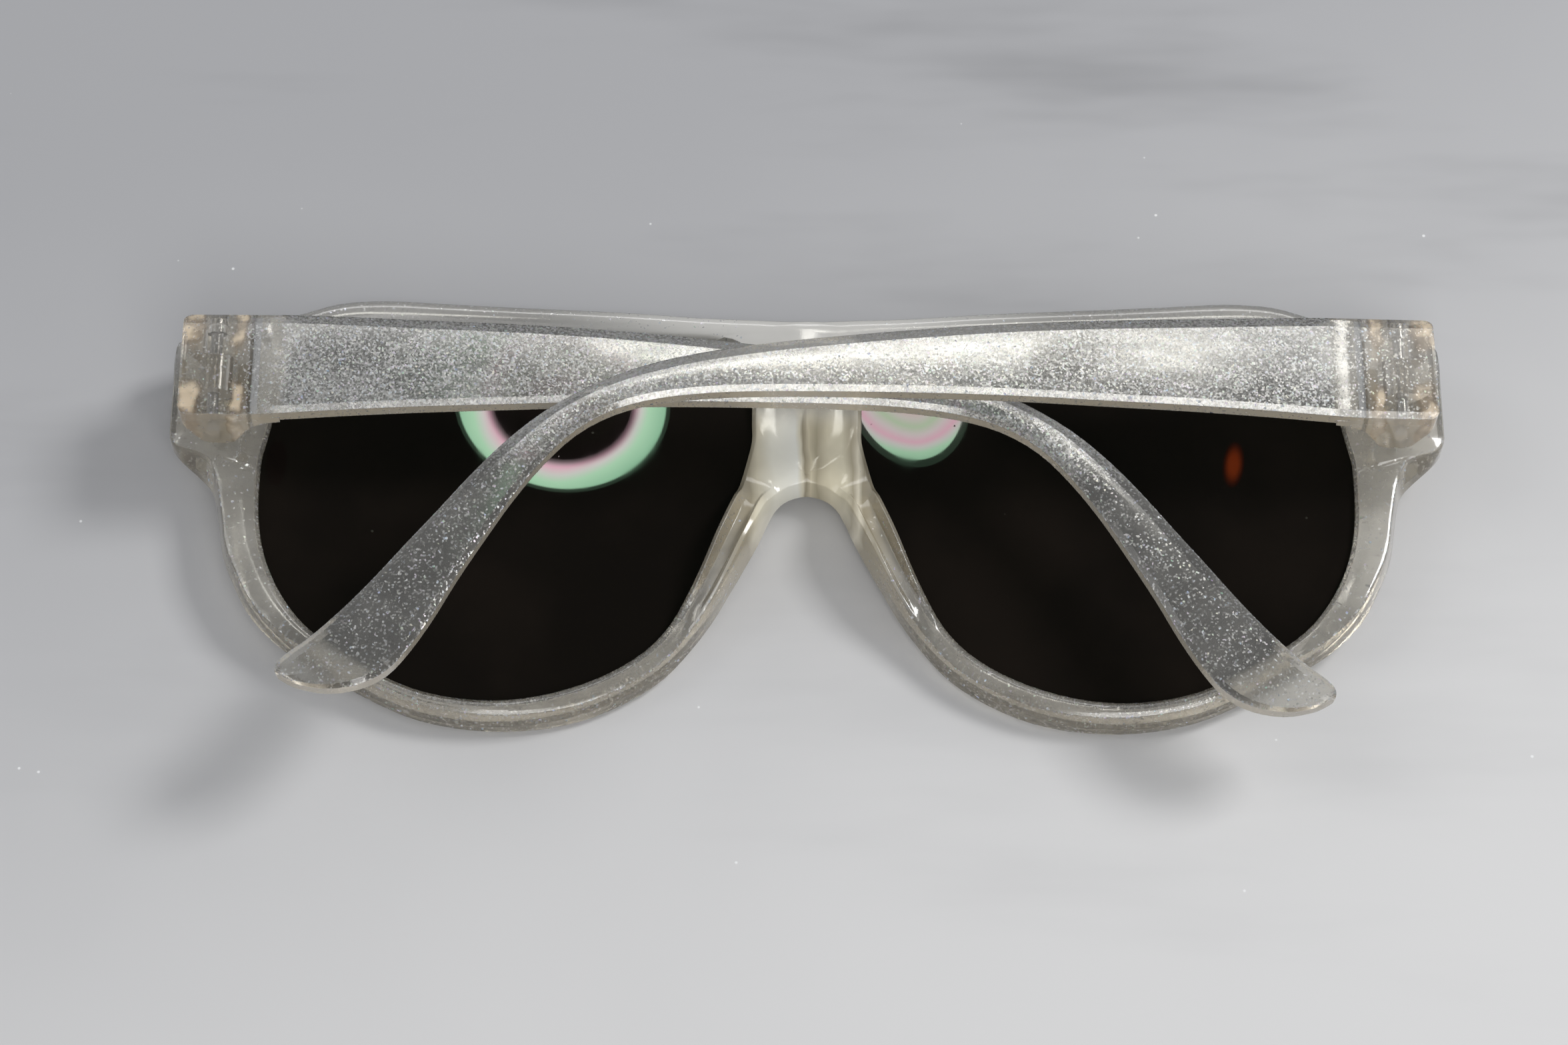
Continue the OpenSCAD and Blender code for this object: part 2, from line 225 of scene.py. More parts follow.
    def shader(self, **values):
        node = self.add("ShaderNodeBsdfPrincipled")
        for name, value in values.items():
            self.put(node.inputs[name.replace("_", " ")], value)
        self.links.new(node.outputs[0], self.out.inputs["Surface"])


# smoky plastic of the front and the temples: how far a surface faces up or down on the broad faces
BROAD_FACING = (0.55, 0.95)
# the slow clouds and the lengthwise streaks inside the plastic
CLOUD_SCALE = 160.0
CLOUD_SPAN = (0.3, 0.7)
CLOUD_FLAKES = (0.8, 1.15)
CLOUD_VEIL = (0.05, 0.1)
SIDE_VEIL = 0.5
STREAK_SCALE = 700.0
STREAK_STRETCH = (0.25, 1.0, 1.0)
STREAK_SPAN = (0.4, 0.75)
STREAK_SHARE = (0.0, 0.3)
STREAK_COLOUR = shade(204, 201, 192)
# where the temples' bent arms pass into their straight blades
ARM_TOP = (-0.004, 0.004)


class Spot:
    """A point of the plastic: its place, which way it faces, and the slow changes inside the plastic."""

    def __init__(self, tree):
        self.at = tree.place()
        self.x, self.y = tree.split(self.at)[0:2]
        self.away = tree.calc("ABSOLUTE", self.x)
        self.normal = tree.split(tree.add("ShaderNodeTexCoord").outputs["Normal"])
        self.facing = tree.calc("ABSOLUTE", self.normal[2])
        self.broad = tree.ramp(self.facing, BROAD_FACING)
        self.arm = tree.ramp(self.y, ARM_TOP, FALL)
        self.cloud = tree.noise(self.at, CLOUD_SCALE, detail=3.0)
        self.streak = tree.noise(tree.stretched(self.at, STREAK_STRETCH), STREAK_SCALE, detail=3.0)


# colour of the clear plastic between the flakes
def clear_colour(tree, spot, side, broad):
    clear = tree.mix(spot.broad, side, broad)
    return tree.mix(tree.ramp(spot.streak, STREAK_SPAN, STREAK_SHARE), clear, STREAK_COLOUR)


# share of milkiness in the clear plastic
def thin_veil(tree, spot):
    return tree.times(tree.ramp(spot.cloud, CLOUD_SPAN, CLOUD_VEIL), tree.fade(spot.broad, SIDE_VEIL, 1.0))


# flakes: cells per metre, and the shares of the cells that hold one, on blades and on arms
FINE_CELLS = 4900.0
FINE_SHARE = 0.62
FINE_STRENGTH = (0.26, 0.5)
LARGE_CELLS = 3900.0
LARGE_SHARE = (0.012, 0.045)
# along the moulded edges the flakes crowd and lean more
LINE_FLAKES = 0.9
LINE_LARGE = 0.15
LEAN_FINE = (0.08, 0.3)
LEAN_LARGE = 0.4
FLAKE_SHINE = 0.8
FLAKE_SOLID = 0.8
FLAKE_ROUGH = 0.28
FLAKE_COLOURS = ((0.0, 150, 152, 156), (0.45, 202, 204, 207), (0.7, 246, 246, 246), (0.8, 190, 214, 236),
                 (0.88, 222, 196, 232), (0.95, 190, 230, 202), (1.0, 246, 236, 214))
# the moulded surface waves a little and has fine scuffs along x
WAVE_SCALE = 110.0
WAVE_STRENGTH = 0.12
WAVE_DEPTH = 0.0003
SCUFF_SCALE = 2600.0
SCUFF_STRETCH = (0.2, 1.0, 1.0)
SCUFF_STRENGTH = 0.015
SCUFF_DEPTH = 0.00003
ROUGH_SPAN = (0.35, 0.7)
PLASTIC_ROUGH = (0.1, 0.16)
PLASTIC_IOR = 1.49
COAT_ROUGH = 0.1


# clear plastic with fine metallic flakes, each of which leans its own way
def flake_plastic(tree, spot, amount, line, clear, veil, gloss, pearl_share, edge_shine):
    amount = tree.most(amount, tree.times(line, LINE_FLAKES))
    fine = tree.cells(spot.at, FINE_CELLS)["Color"]
    large = tree.cells(spot.at, LARGE_CELLS)["Color"]
    pick, hue, strength = tree.split(fine)
    dense = tree.calc("GREATER_THAN", tree.times(amount, FINE_SHARE), pick)
    many = tree.calc("ADD", tree.fade(spot.arm, *LARGE_SHARE), tree.times(line, LINE_LARGE))
    rare = tree.calc("GREATER_THAN", tree.times(amount, many), tree.split(large)[0])
    flake = tree.most(tree.times(dense, tree.fade(strength, *FINE_STRENGTH)), rare)
    pearl = tree.times(amount, pearl_share)

    colour = tree.mix(tree.most(flake, pearl), clear, tree.colours(hue, FLAKE_COLOURS))
    shine = tree.most(pearl, tree.times(flake, tree.fade(line, FLAKE_SHINE, edge_shine)))
    through = tree.calc("SUBTRACT", 1.0, tree.most(veil, tree.times(flake, FLAKE_SOLID)))
    rough = tree.ramp(spot.streak, ROUGH_SPAN, PLASTIC_ROUGH)
    rough = tree.calc("ADD", rough, tree.times(flake, FLAKE_ROUGH))

    wave = tree.bump(tree.noise(spot.at, WAVE_SCALE), WAVE_STRENGTH, WAVE_DEPTH)
    scuffs = tree.noise(tree.stretched(spot.at, SCUFF_STRETCH), SCUFF_SCALE)
    surface = tree.bump(scuffs, SCUFF_STRENGTH, SCUFF_DEPTH, wave)
    lean = tree.calc("ADD", tree.times(dense, tree.fade(line, *LEAN_FINE)), tree.times(rare, LEAN_LARGE))
    normal = tree.leaning(surface, tree.mix(rare, fine, large), lean)
    tree.shader(Base_Color=colour, Metallic=shine, Roughness=rough, IOR=PLASTIC_IOR, Normal=normal,
                Transmission_Weight=through, Coat_Weight=gloss, Coat_Roughness=COAT_ROUGH,
                Coat_IOR=PLASTIC_IOR, Coat_Normal=surface)


# how far the hinges' axes lie from the middle line
HINGE_X = max(joint["pos_m"][0] for joint in frame["joints"])

# front: places that count from the middle line outwards, and places up towards the brow
BRIDGE_OUT = (0.0060, 0.0100)
WING_OUT = (HINGE_X - 0.0040, HINGE_X + 0.0020)
GLITTER_OUT = (0.0090, 0.0150)
BRIDGE_SIDES = (0.0058, 0.0130)
BRIDGE_TOP = (0.0110, 0.0165)
BROW_COLOUR_UP = (0.0150, 0.0180)
BROW_VEIL_UP = (0.0140, 0.0180)
BROW_VEIL_OUT = (0.0080, 0.0350)
# front: shares of flakes, veil and gloss
FRONT_FLAKES = (0.22, 0.07)
WING_FLAKES = (1.0, 0.6)
FRONT_PEARL = 0.04
FRONT_EDGE = 0.0010
FRONT_EDGE_SHINE = 0.3
FRONT_VEIL = 1.8
BRIDGE_VEIL = 0.8
BROW_VEIL = (0.6, 0.25)
FRONT_GLOSS = (0.8, 0.25)
FRONT_SIDE = shade(232, 221, 198)
FRONT_BROAD = shade(242, 238, 228)
# painted shade: the brow's sides are dark, for the dark outline along its top edge
BROW_SIDE_SHADE = shade(132, 127, 108)
BROW_BROAD = shade(250, 248, 243)


def frame_plastic(name):
    tree = Tree(name)
    spot = Spot(tree)
    amount = tree.times(tree.fade(spot.broad, *FRONT_FLAKES), tree.ramp(spot.away, BRIDGE_OUT),
                        tree.ramp(spot.away, WING_OUT, WING_FLAKES),
                        tree.ramp(spot.cloud, CLOUD_SPAN, CLOUD_FLAKES))
    line = tree.most(tree.edge(FRONT_EDGE), rim_shoulder(tree, spot))
    line = tree.times(line, tree.ramp(spot.away, GLITTER_OUT))

    bridge = tree.times(tree.ramp(spot.away, BRIDGE_SIDES, FALL), tree.ramp(spot.y, BRIDGE_TOP, FALL))
    clear = clear_colour(tree, spot, FRONT_SIDE, FRONT_BROAD)
    # the bridge's colour takes painted bands of refracted light and shade
    clear = tree.mix(bridge, clear, painted_bridge_bands(tree, spot))
    # the brow's sides take a painted dark outline, and its broad faces a paler clear colour
    clear = tree.mix(tree.ramp(spot.y, BROW_COLOUR_UP), clear, tree.mix(spot.broad, BROW_SIDE_SHADE, BROW_BROAD))
    veil = tree.calc("ADD", tree.times(thin_veil(tree, spot), FRONT_VEIL), tree.times(bridge, BRIDGE_VEIL))
    brow = tree.times(tree.ramp(spot.y, BROW_VEIL_UP), tree.ramp(spot.away, BROW_VEIL_OUT, BROW_VEIL),
                      spot.broad)
    flake_plastic(tree, spot, amount, line, clear, tree.most(veil, brow), tree.fade(bridge, *FRONT_GLOSS),
                  FRONT_PEARL, FRONT_EDGE_SHINE)
    return tree.material


# rims' outer shoulders: they face away from the lens's middle and glitter below the brow
LENS_MIDDLE_X = 0.0345
LENS_MIDDLE_Y = -0.004
SHOULDER_OUTWARD = (0.008, 0.016)
SHOULDER_FACING = (0.25, 0.45)
SHOULDER_DOWN = (0.010, 0.004)
SHOULDER_GLITTER = (0.0, 0.9)


def rim_shoulder(tree, spot):
    from_x = tree.calc("SUBTRACT", spot.x, tree.times(tree.calc("SIGN", spot.x), LENS_MIDDLE_X))
    from_y = tree.calc("SUBTRACT", spot.y, LENS_MIDDLE_Y)
    outward = tree.calc("ADD", tree.times(spot.normal[0], from_x), tree.times(spot.normal[1], from_y))
    return tree.times(tree.ramp(outward, SHOULDER_OUTWARD), tree.ramp(spot.facing, SHOULDER_FACING),
                      tree.ramp(spot.y, SHOULDER_DOWN, SHOULDER_GLITTER))


# upright bands of painted light, shade and warm colour in the clear bridge, standing in for light refracted
# through it
BRIDGE_HALF = 0.0066
BAND_STRETCH = (1.0, 0.5, 0.5)
BAND_SCALE = 260.0
BAND_WOBBLE = 0.0022
PAINTED_BAND_COLOURS = ((0.0, 170, 160, 136), (0.07, 226, 218, 194), (0.2, 252, 249, 234), (0.42, 255, 254, 244),
                (0.475, 240, 232, 208), (0.5, 172, 161, 136), (0.55, 222, 212, 184), (0.61, 184, 174, 148),
                (0.7, 232, 223, 196), (0.82, 236, 228, 202), (0.88, 190, 180, 155), (0.94, 240, 232, 210),
                (1.0, 170, 160, 136))


def painted_bridge_bands(tree, spot):
    wobble = tree.wobble(tree.noise(tree.stretched(spot.at, BAND_STRETCH), BAND_SCALE), BAND_WOBBLE)
    across = tree.ramp(tree.calc("ADD", spot.x, wobble), (-BRIDGE_HALF, BRIDGE_HALF), soft=False)
    return tree.colours(across, PAINTED_BAND_COLOURS)


# temples: places that count from the middle line outwards
HINGE_OUT = (HINGE_X - 0.0050, HINGE_X - 0.0034)
BEND_FROM = (HINGE_X - 0.0088, HINGE_X - 0.0074)
BEND_TO = (HINGE_X - 0.0038, HINGE_X - 0.0050)
# temples: lean of the upper bevel towards the brow, and the stretch along x where it is pale
BEVEL_LEAN = (0.3, 0.55)
PALE_FROM = (-0.018, -0.008)
PALE_TO = (0.040, 0.022)
# temples: shares of flakes, veil and gloss
TEMPLE_FLAKES = (0.1, 1.0)
HINGE_FLAKES = (1.0, 0.2)
BEND_FLAKES = (1.0, 0.3)
ARM_FLAKES = (1.0, 0.2)
BEVEL_FLAKES = (1.0, 0.35)
TEMPLE_PEARL = 0.1
TEMPLE_EDGE = 0.0005
SIDE_SPAN = (0.0, 0.7)
TEMPLE_SIDE_VEIL = (0.42, 0.0)
ARM_VEIL = (1.0, 0.5)
BEVEL_VEIL = 0.5
TEMPLE_GLOSS = (0.8, 0.12)
TEMPLE_SIDE = shade(222, 204, 172)
TEMPLE_BROAD = shade(228, 225, 217)
# temples: the clear hinge end, the dark line where it begins and the blocks of painted warm light in it
HINGE_TINT = 0.5
HINGE_COLOUR = shade(206, 197, 177)
LINE_OUT = HINGE_X - 0.0046
LINE_HALF = (0.00012, 0.0004)
LINE_SHARE = (0.55, 0.0)
LINE_COLOUR = shade(84, 80, 72)
BLOCK_RIM = (0.05, 0.3)
BLOCK_RIM_SHARE = (0.0, 0.5)
BLOCK_RIM_GLOW_COLOUR = shade(190, 160, 122)
BLOCK_CORE = (0.2, 1.0)
BLOCK_GLOW_COLOUR = shade(255, 234, 202)
BLOCK_VEIL_SPAN = (0.1, 1.0)
BLOCK_VEIL = (0.0, 0.55)


def temple_plastic(name):
    tree = Tree(name)
    spot = Spot(tree)
    hinge = tree.ramp(spot.away, HINGE_OUT)
    bend = tree.times(tree.ramp(spot.away, BEND_FROM), tree.ramp(spot.away, BEND_TO))
    bevel = tree.times(tree.ramp(spot.normal[1], BEVEL_LEAN), tree.ramp(spot.x, PALE_FROM),
                       tree.ramp(spot.x, PALE_TO))
    amount = tree.times(tree.fade(spot.broad, *TEMPLE_FLAKES), tree.fade(hinge, *HINGE_FLAKES),
                        tree.fade(bend, *BEND_FLAKES), tree.ramp(spot.cloud, CLOUD_SPAN, CLOUD_FLAKES),
                        tree.fade(spot.arm, *ARM_FLAKES), tree.fade(bevel, *BEVEL_FLAKES))

    off_line = tree.calc("ABSOLUTE", tree.calc("SUBTRACT", spot.away, LINE_OUT))
    painted_glow_blocks = tree.times(hinge, painted_ear_glow(tree, spot))
    clear = clear_colour(tree, spot, TEMPLE_SIDE, TEMPLE_BROAD)
    clear = tree.mix(tree.times(hinge, HINGE_TINT), clear, HINGE_COLOUR)
    clear = tree.mix(tree.ramp(off_line, LINE_HALF, LINE_SHARE), clear, LINE_COLOUR)
    # painted warm light in the ear blocks, with a painted amber rim around it
    clear = tree.mix(tree.ramp(painted_glow_blocks, BLOCK_RIM, BLOCK_RIM_SHARE), clear, BLOCK_RIM_GLOW_COLOUR)
    clear = tree.mix(tree.ramp(painted_glow_blocks, BLOCK_CORE), clear, BLOCK_GLOW_COLOUR)
    side = tree.times(tree.ramp(spot.broad, SIDE_SPAN, TEMPLE_SIDE_VEIL), tree.fade(spot.arm, *ARM_VEIL))
    veil = tree.most(thin_veil(tree, spot), tree.ramp(painted_glow_blocks, BLOCK_VEIL_SPAN, BLOCK_VEIL), side,
                     tree.times(bevel, BEVEL_VEIL))
    flake_plastic(tree, spot, amount, tree.edge(TEMPLE_EDGE), clear, veil, tree.fade(bend, *TEMPLE_GLOSS),
                  TEMPLE_PEARL, FLAKE_SHINE)
    return tree.material


# four blocks of painted warm light, standing in for light gathered in the clear ends of the hinge ears: how
# far inwards from the hinge's axis the outer and the inner two lie, and how far up towards the brow the top
# and the low two
OUTER_FROM = (-0.0042, -0.0029)
OUTER_TO = (-0.0006, -0.0021)
INNER_FROM = (0.0018, 0.0028)
INNER_TO = (0.0044, 0.0033)
TOP_FROM = (0.0148, 0.0168)
TOP_TO = (0.0212, 0.0198)
LOW_FROM = (0.0060, 0.0074)
LOW_TO = (0.0118, 0.0092)
BLOCK_WOBBLE_SCALE = 380.0
BLOCK_WOBBLE = 0.0022
BLOCK_LIGHT_SCALE = 420.0
BLOCK_LIGHT_SPAN = (0.35, 0.6)
BLOCK_LIGHT = (0.45, 1.0)


def painted_ear_glow(tree, spot):
    wobble = tree.wobble(tree.noise(spot.at, BLOCK_WOBBLE_SCALE, detail=1.0), BLOCK_WOBBLE)
    inward = tree.calc("ADD", tree.calc("SUBTRACT", HINGE_X, spot.away), wobble)
    height = tree.calc("ADD", spot.y, wobble)
    outer = tree.times(tree.ramp(inward, OUTER_FROM), tree.ramp(inward, OUTER_TO))
    inner = tree.times(tree.ramp(inward, INNER_FROM), tree.ramp(inward, INNER_TO))
    top = tree.times(tree.ramp(height, TOP_FROM), tree.ramp(height, TOP_TO))
    low = tree.times(tree.ramp(height, LOW_FROM), tree.ramp(height, LOW_TO))
    light = tree.ramp(tree.noise(spot.at, BLOCK_LIGHT_SCALE), BLOCK_LIGHT_SPAN, BLOCK_LIGHT)
    return tree.times(light, tree.most(outer, inner), tree.most(top, low))


# lens: hazy dark tint, a few specks of dust and faint wiping marks
HAZE_SCALE = 60.0
HAZE_SPAN = (0.4, 0.7)
TINT_DARK = shade(21, 17, 15)
TINT_PALE = shade(27, 22, 19)
DUST_CELLS = 520.0
DUST_SIZE = (0.05, 0.1)
DUST_PICK = 0.93
DUST_ROUGH = 0.3
DUST_SHARE = 0.35
DUST_COLOUR = shade(84, 80, 74)
WIPE_STRETCH = (1.0, 0.15, 1.0)
WIPE_SCALE = 420.0
WIPE_SPAN = (0.45, 0.75)
WIPE_ROUGH = (0.008, 0.02)
WIPE_STRENGTH = 0.003
WIPE_DEPTH = 0.00001
LENS_IOR = 1.5
LENS_SPECULAR = 0.07


# very dark brown lens whose reflections take film colours in green and pink, painted in rings about the two
# reflections
def lens_tint(name):
    tree = Tree(name)
    at = tree.place()
    colour = tree.mix(tree.ramp(tree.noise(at, HAZE_SCALE, detail=3.0), HAZE_SPAN), TINT_DARK, TINT_PALE)
    dust = specks(tree, at, DUST_CELLS, DUST_SIZE, DUST_PICK)
    colour = tree.mix(tree.times(dust, DUST_SHARE), colour, DUST_COLOUR)
    wipe = tree.noise(tree.stretched(at, WIPE_STRETCH), WIPE_SCALE, detail=3.0)
    rough = tree.calc("ADD", tree.ramp(wipe, WIPE_SPAN, WIPE_ROUGH), tree.times(dust, DUST_ROUGH))
    surface = tree.bump(wipe, WIPE_STRENGTH, WIPE_DEPTH, wrapped_normal(tree, at))
    tree.shader(Base_Color=colour, Roughness=rough, IOR=LENS_IOR, Specular_IOR_Level=LENS_SPECULAR,
                Specular_Tint=painted_film_rings(tree, at), Normal=surface)
    return tree.material


# round specks in the few cells whose random number is over the pick
def specks(tree, at, scale, size, pick):
    grain = tree.cells(at, scale)
    chosen = tree.calc("GREATER_THAN", tree.split(grain["Color"])[0], pick)
    return tree.times(tree.ramp(grain["Distance"], size, FALL), chosen)


# the front's wrap: the radius of each half, and how far out its lowest line lies
WRAP_RADIUS = 0.230
WRAP_X = 0.028
# how far up or down a surface of the lens faces at least where it is one of the two round faces
LENS_FACE = 0.8


# normal of the lens's true round faces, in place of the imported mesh's flat strips
def wrapped_normal(tree, at):
    flat = tree.add("ShaderNodeNewGeometry").outputs["Normal"]
    x = tree.split(at)[0]
    flat_z = tree.split(flat)[2]
    offset = tree.calc("SUBTRACT", tree.times(tree.calc("SIGN", x), WRAP_X), x)
    lean = tree.calc("DIVIDE", offset, WRAP_RADIUS)
    tall = tree.calc("SQRT", tree.calc("SUBTRACT", 1.0, tree.times(lean, lean)))
    way = tree.calc("SIGN", flat_z)
    curved = tree.add("ShaderNodeCombineXYZ")
    tree.put(curved.inputs["X"], tree.times(lean, way))
    tree.put(curved.inputs["Z"], tree.times(tall, way))
    on_face = tree.calc("GREATER_THAN", tree.calc("ABSOLUTE", flat_z), LENS_FACE)
    return tree.mix(on_face, flat, curved.outputs[0])


# painted film colours in rings about the lenses' two reflections: where each lies, and how far its rings
# reach
RING_AT = (-0.0287, 0.0165, 0.0031)
RING_REACH = 0.0114
DISC_AT = (0.0119, 0.0175, 0.0037)
DISC_REACH = 0.0085
FILM_STRETCH = (1.0, 0.6, 1.0)
FILM_SCALE = 110.0
FILM_WOBBLE = 0.25
FILM_REACH = 0.9
FILM_AND_REFLECTION_COLOURS = ((0.0, 216, 222, 196), (0.2, 230, 190, 190), (0.36, 214, 208, 198), (0.46, 190, 212, 176),
                (0.58, 222, 208, 206), (0.68, 236, 184, 200), (0.76, 214, 214, 206), (0.84, 176, 224, 184),
                (1.0, 140, 196, 156))


# distance from a reflection's middle across the lens, as a share of its reach
def how_far(tree, at, middle, reach):
    x, y = tree.split(at)[0:2]
    far = tree.distance(tree.calc("SUBTRACT", x, middle[0]), tree.calc("SUBTRACT", y, middle[1]))
    return tree.calc("DIVIDE", far, reach)


# tint of what the lens reflects: film colours, with their rings painted about the two reflections
def painted_film_rings(tree, at):
    near = tree.calc("MINIMUM", how_far(tree, at, RING_AT, RING_REACH),
                     how_far(tree, at, DISC_AT, DISC_REACH))
    wobble = tree.wobble(tree.noise(tree.stretched(at, FILM_STRETCH), FILM_SCALE), FILM_WOBBLE)
    return tree.colours(tree.calc("ADD", tree.times(near, FILM_REACH), wobble), FILM_AND_REFLECTION_COLOURS)


# screw: bright steel with fine lines
STEEL_STRETCH = (1.0, 0.1, 1.0)
STEEL_SCALE = 9000.0
STEEL_SPAN = (0.3, 0.7)
STEEL_DARK = shade(160, 158, 156)
STEEL_PALE = shade(205, 203, 200)
STEEL_ROUGH = (0.22, 0.4)
STEEL_STRENGTH = 0.2
STEEL_DEPTH = 0.00002


def screw_steel(name):
    tree = Tree(name)
    lines = tree.noise(tree.stretched(tree.place(), STEEL_STRETCH), STEEL_SCALE, detail=3.0)
    colour = tree.mix(tree.ramp(lines, STEEL_SPAN), STEEL_DARK, STEEL_PALE)
    tree.shader(Base_Color=colour, Metallic=1.0, Roughness=tree.ramp(lines, STEEL_SPAN, STEEL_ROUGH),
                Normal=tree.bump(lines, STEEL_STRENGTH, STEEL_DEPTH))
    return tree.material


# table: its size, its painted slope of shade and light from dark to pale, its veins and a few bright crystals
TABLE_HALF = 4.0
TABLE_PARTS = 2
SLOPE_X = 0.32
SLOPE_Y = -1.0
SLOPE_WOBBLE = 0.06
SLOPE_SPAN = (-0.08, 0.08)
# the two ends of the painted slope of shade and light
TABLE_SHADED = shade(187, 187, 189)
TABLE_LIT = shade(230, 229, 228)
TABLE_CLOUD_SCALE = 9.0
VEIN_STRETCH = (0.35, 1.7, 1.0)
VEIN_SCALE = 13.0
VEIN_SPAN = (0.5, 0.7)
VEIN_BACK = (-0.02, 0.05)
VEIN_SHARE = (0.12, 0.6)
VEIN_COLOUR = shade(142, 142, 144)
CRYSTAL_CELLS = 900.0
CRYSTAL_SIZE = (0.1, 0.22)
CRYSTAL_PICK = 0.9965
CRYSTAL_COLOUR = shade(252, 252, 252)
TABLE_ROUGH = (0.3, 0.4)
TABLE_IOR = 1.5


# pale polished stone, with painted shade towards the back and the left and painted light towards the front
def table_stone(name):
    tree = Tree(name)
    at = tree.place()
    x, y = tree.split(at)[0:2]
    cloud = tree.noise(at, TABLE_CLOUD_SCALE, detail=4.0, rough=0.55)
    # painted shade and light: darker towards the back and the left
    painted_light_slope = tree.calc("ADD", tree.times(y, SLOPE_Y), tree.times(x, SLOPE_X))
    painted_light_slope = tree.calc("ADD", painted_light_slope, tree.wobble(cloud, SLOPE_WOBBLE))
    colour = tree.mix(tree.ramp(painted_light_slope, SLOPE_SPAN), TABLE_SHADED, TABLE_LIT)
    vein = tree.noise(tree.stretched(at, VEIN_STRETCH), VEIN_SCALE, detail=5.0, rough=0.6)
    veined = tree.times(tree.ramp(vein, VEIN_SPAN), tree.ramp(y, VEIN_BACK, VEIN_SHARE))
    colour = tree.mix(veined, colour, VEIN_COLOUR)
    colour = tree.mix(specks(tree, at, CRYSTAL_CELLS, CRYSTAL_SIZE, CRYSTAL_PICK), colour, CRYSTAL_COLOUR)
    tree.shader(Base_Color=colour, Roughness=tree.ramp(cloud, CLOUD_SPAN, TABLE_ROUGH), IOR=TABLE_IOR)
    return tree.material


def finished_mesh(shape, name):
    mesh = bpy.data.meshes.new(name)
    shape.to_mesh(mesh)
    shape.free()
    return mesh


def make_floor():
    shape = bmesh.new()
    bmesh.ops.create_grid(shape, x_segments=TABLE_PARTS, y_segments=TABLE_PARTS, size=TABLE_HALF)
    floor = bpy.data.objects.new("table_top", finished_mesh(shape, "table_top"))
    SCENE.collection.objects.link(floor)
    floor.data.materials.append(table_stone("table_stone"))


def stand(obj, at, aim):
    SCENE.collection.objects.link(obj)
    obj.location = at
    obj.rotation_euler = (Vector(aim) - Vector(at)).to_track_quat("-Z", "Y").to_euler()


# limits what a light reaches to the named pieces
def lit_by(light, names):
    pieces = bpy.data.collections.new(light.name)
    for name in names:
        pieces.objects.link(NODES[name])
    light.light_linking.receiver_collection = pieces


def lamp(name, at, wide, power, tall=None, aim=MIDDLE, colour=WHITE, reaches=None):
    data = bpy.data.lights.new(name, "AREA")
    data.shape = "RECTANGLE"
    data.size = wide
    data.size_y = tall or wide
    data.energy = power
    data.color = colour
    light = bpy.data.objects.new(name, data)
    stand(light, at, aim)
    if reaches:
        lit_by(light, reaches)


# glints: the corners of their outline, and the hole from which on a glint counts as a ring
GLINT_CORNERS = 48
RING_HOLE = 0.1
# how wide the dim edge along a ring's hole is and how bright it begins, and how bright the halo is
HOLE_EDGE = 0.1
HOLE_LEVEL = 0.1
HALO_LEVEL = 0.07


# ring between two ovals; the hole is a share of the outer oval
def oval_ring(name, wide, tall, hole):
    shape = bmesh.new()
    inner = oval(shape, wide * hole, tall * hole)
    outer = oval(shape, wide, tall)
    for corner in range(GLINT_CORNERS):
        following = (corner + 1) % GLINT_CORNERS
        shape.faces.new((inner[corner], outer[corner], outer[following], inner[following]))
    return finished_mesh(shape, name)


def oval(shape, wide, tall):
    corners = []
    for corner in range(GLINT_CORNERS):
        angle = 2 * math.pi * corner / GLINT_CORNERS
        corners.append(shape.verts.new((wide * math.cos(angle), tall * math.sin(angle), 0)))
    return corners


# material whose glow falls off to a faint halo in its outermost part
def glow(name, wide, tall, hole, strength, soft, halo, colour):
    tree = Tree(name)
    x, y = tree.split(tree.place())[0:2]
    far = tree.distance(tree.calc("DIVIDE", x, wide), tree.calc("DIVIDE", y, tall))
    level = tree.ramp(far, (halo - soft, halo), (1.0, HALO_LEVEL))
    if hole > RING_HOLE:
        level = tree.times(level, tree.ramp(far, (hole, hole + HOLE_EDGE), (HOLE_LEVEL, 1.0)))
    emission = tree.add("ShaderNodeEmission")
    emission.inputs["Color"].default_value = (*colour, 1)
    tree.put(emission.inputs["Strength"], tree.times(level, strength))
    tree.links.new(emission.outputs[0], tree.out.inputs["Surface"])
    return tree.material


# glowing ring or disc that only the lenses show, for the reflections in the photograph
def glint(name, at, aim, wide, tall, strength, halo, hole=0.01, soft=0.02, colour=WHITE, reaches=LENSES):
    mesh = oval_ring(name, wide, tall, hole)
    mesh.materials.append(glow(name, wide, tall, hole, strength, soft, halo, colour))
    ring = bpy.data.objects.new(name, mesh)
    stand(ring, at, aim)
    ring.visible_camera = False
    ring.visible_diffuse = False
    ring.visible_transmission = False
    ring.visible_shadow = False
    lit_by(ring, reaches)


# light: the colours are as lamps take them, and the aims lie on the glasses
SKY_COLOUR = (0.92, 0.95, 1.0, 1)
SKY_STRENGTH = 0.32
WINDOW_COLOUR = (1.0, 0.98, 0.9)
WARM_COLOUR = (1.0, 0.07, 0.01)
BLADE_AIM = (0.01, 0, 0)
LEFT_END = (-0.05, 0, 0)


